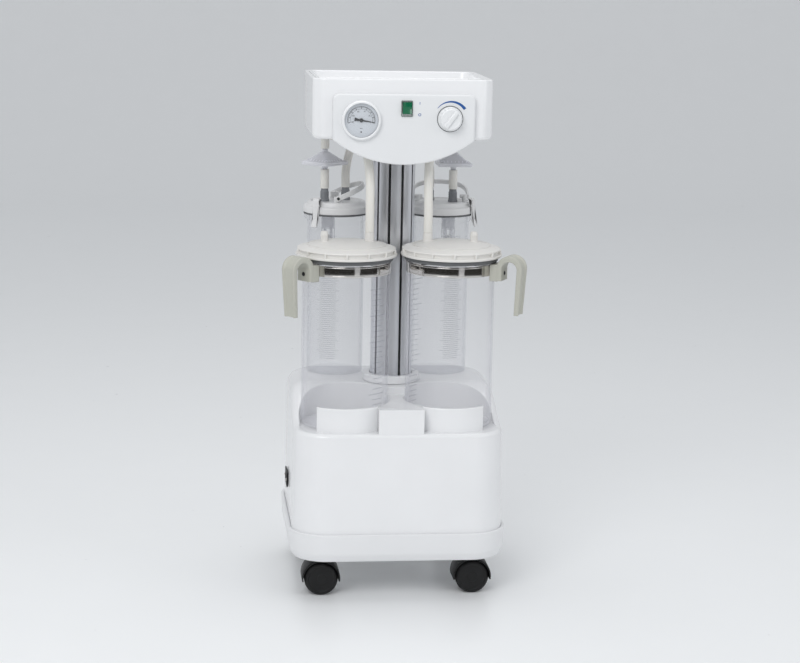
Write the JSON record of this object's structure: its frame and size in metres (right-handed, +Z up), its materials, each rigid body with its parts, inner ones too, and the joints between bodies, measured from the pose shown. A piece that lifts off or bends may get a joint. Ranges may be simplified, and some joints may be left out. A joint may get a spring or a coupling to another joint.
{
  "type": "suction pump",
  "caption": "Mobile medical suction pump: cabinet on casters, jars with lids and handles, float cages, filters, column and a control head with gauge, switch and regulator.",
  "frame": {"origin": "on the floor, under the middle of the object", "axes": "+X to the object's right as seen from the front, +Y to the rear (the control panel faces -Y), +Z up"},
  "size_m": [0.4188, 0.346, 0.8833],
  "materials": {
    "shell": "gloss",
    "panel": "satin",
    "black": "satin",
    "cast": "cast",
    "aluminium": "brushed",
    "bezel": "gloss",
    "dial": "satin",
    "needle": "satin",
    "lens": "clear",
    "rocker": "gloss",
    "knob": "satin",
    "wheel": "satin",
    "clear": "clear",
    "steel": "polished",
    "rubber": "matte",
    "lid": "satin",
    "handle": "satin",
    "rear_lid": "satin",
    "cage": "clear",
    "float": "satin",
    "filter": "translucent",
    "hose": "satin"
  },
  "bodies": {
    "root": {"air_filter_left": "filter", "air_filter_right": "filter", "arch_hose_left": "hose", "arch_hose_right": "hose", "base_cover": "shell", "base_pan": "shell", "column": "aluminium", "column_collar": "shell", "float_cage_left": "cage", "float_cage_right": "cage", "front_panel": "panel", "gauge_case": "bezel", "gauge_dial": "dial", "gauge_lens": "lens", "head_shell": "shell", "head_tray": "shell", "lower_tube_left": "hose", "lower_tube_right": "hose", "power_inlet": "black", "pump_crankcase": "cast", "pump_cylinder_head": "aluminium", "pump_motor": "cast", "rear_gasket_left": "rubber", "rear_gasket_right": "rubber", "rear_jar_left": "clear", "rear_jar_right": "clear", "rear_lid_left": "rear_lid", "rear_lid_right": "rear_lid", "regulator_valve": "cast", "rocker_frame": "black", "upper_tube_left": "hose", "upper_tube_right": "hose"},
    "swivel_front_left": {"caster_hood_front_left": "black"},
    "wheels_front_left": {"caster_wheels_front_left": "wheel"},
    "swivel_front_right": {"caster_hood_front_right": "black"},
    "wheels_front_right": {"caster_wheels_front_right": "wheel"},
    "swivel_rear_left": {"caster_hood_rear_left": "black"},
    "wheels_rear_left": {"caster_wheels_rear_left": "wheel"},
    "swivel_rear_right": {"caster_hood_rear_right": "black"},
    "wheels_rear_right": {"caster_wheels_rear_right": "wheel"},
    "rocker": {"power_rocker": "rocker"},
    "knob": {"regulator_knob": "knob"},
    "needle": {"gauge_needle": "needle"},
    "fan": {"cooling_fan": "black"},
    "front_jar_set_left": {"front_jar_left": "clear", "jar_band_left": "steel", "lid_gasket_left": "rubber", "jar_lid_left": "lid", "jar_handle_left": "handle"},
    "bail_left": {"rear_bail_left": "rear_lid"},
    "clip_left": {"rear_clip_left": "rear_lid"},
    "float_body_left": {"float_left": "float"},
    "front_jar_set_right": {"front_jar_right": "clear", "jar_band_right": "steel", "lid_gasket_right": "rubber", "jar_lid_right": "lid", "jar_handle_right": "handle"},
    "bail_right": {"rear_bail_right": "rear_lid"},
    "clip_right": {"rear_clip_right": "rear_lid"},
    "float_body_right": {"float_right": "float"}
  },
  "joints": [
    {"name": "caster_swivel_front_left", "type": "hinge", "parent": "root", "child": "swivel_front_left", "pos_m": [-0.119, -0.112, 0.06], "axis": [0, 0, 1], "continuous": true},
    {"name": "wheel_spin_front_left", "type": "hinge", "parent": "swivel_front_left", "child": "wheels_front_left", "pos_m": [-0.131, -0.112, 0.029], "axis": [0, 1, 0], "continuous": true},
    {"name": "caster_swivel_front_right", "type": "hinge", "parent": "root", "child": "swivel_front_right", "pos_m": [0.119, -0.112, 0.06], "axis": [0, 0, 1], "continuous": true},
    {"name": "wheel_spin_front_right", "type": "hinge", "parent": "swivel_front_right", "child": "wheels_front_right", "pos_m": [0.131, -0.112, 0.029], "axis": [0, 1, 0], "continuous": true},
    {"name": "caster_swivel_rear_left", "type": "hinge", "parent": "root", "child": "swivel_rear_left", "pos_m": [-0.119, 0.112, 0.06], "axis": [0, 0, 1], "continuous": true},
    {"name": "wheel_spin_rear_left", "type": "hinge", "parent": "swivel_rear_left", "child": "wheels_rear_left", "pos_m": [-0.131, 0.112, 0.029], "axis": [0, 1, 0], "continuous": true},
    {"name": "caster_swivel_rear_right", "type": "hinge", "parent": "root", "child": "swivel_rear_right", "pos_m": [0.119, 0.112, 0.06], "axis": [0, 0, 1], "continuous": true},
    {"name": "wheel_spin_rear_right", "type": "hinge", "parent": "swivel_rear_right", "child": "wheels_rear_right", "pos_m": [0.131, 0.112, 0.029], "axis": [0, 1, 0], "continuous": true},
    {"name": "rocker_tilt", "type": "hinge", "parent": "root", "child": "rocker", "pos_m": [0.004, -0.1088, 0.8355], "axis": [1, 0, 0], "range_deg": [0, 14]},
    {"name": "regulator_turn", "type": "hinge", "parent": "root", "child": "knob", "pos_m": [0.0765, -0.1138, 0.819], "axis": [0, 1, 0], "range_deg": [-270, 0]},
    {"name": "needle_sweep", "type": "hinge", "parent": "root", "child": "needle", "pos_m": [-0.072, -0.1138, 0.8155], "axis": [0, 1, 0], "range_deg": [-200, 0], "stiffness_Nm_per_rad": 0.0002},
    {"name": "fan_spin", "type": "hinge", "parent": "root", "child": "fan", "pos_m": [0, 0, 0.165], "axis": [1, 0, 0], "continuous": true},
    {"name": "jar_lift_left", "type": "slide", "parent": "root", "child": "front_jar_set_left", "axis": [0, 0, 1], "range_m": [0, 0.05], "deforming": ["arch_hose_left"]},
    {"name": "bail_swing_left", "type": "hinge", "parent": "root", "child": "bail_left", "pos_m": [-0.094, 0.109, 0.6627], "axis": [0, -1, 0], "range_deg": [-20, 20]},
    {"name": "clip_release_left", "type": "hinge", "parent": "root", "child": "clip_left", "pos_m": [-0.13205, 0.06365, 0.6432], "axis": [0.766, -0.6428, 0], "range_deg": [-25, 0]},
    {"name": "float_rise_left", "type": "slide", "parent": "root", "child": "float_body_left", "axis": [0, 0, 1], "range_m": [0, 0.03]},
    {"name": "jar_lift_right", "type": "slide", "parent": "root", "child": "front_jar_set_right", "axis": [0, 0, 1], "range_m": [0, 0.05], "deforming": ["arch_hose_right"]},
    {"name": "bail_swing_right", "type": "hinge", "parent": "root", "child": "bail_right", "pos_m": [0.094, 0.109, 0.6627], "axis": [1, 0, 0], "range_deg": [-20, 20]},
    {"name": "clip_release_right", "type": "hinge", "parent": "root", "child": "clip_right", "pos_m": [0.14627, 0.08121, 0.6432], "axis": [0.4695, 0.8829, 0], "range_deg": [-25, 0]},
    {"name": "float_rise_right", "type": "slide", "parent": "root", "child": "float_body_right", "axis": [0, 0, 1], "range_m": [0, 0.03]}
  ]
}
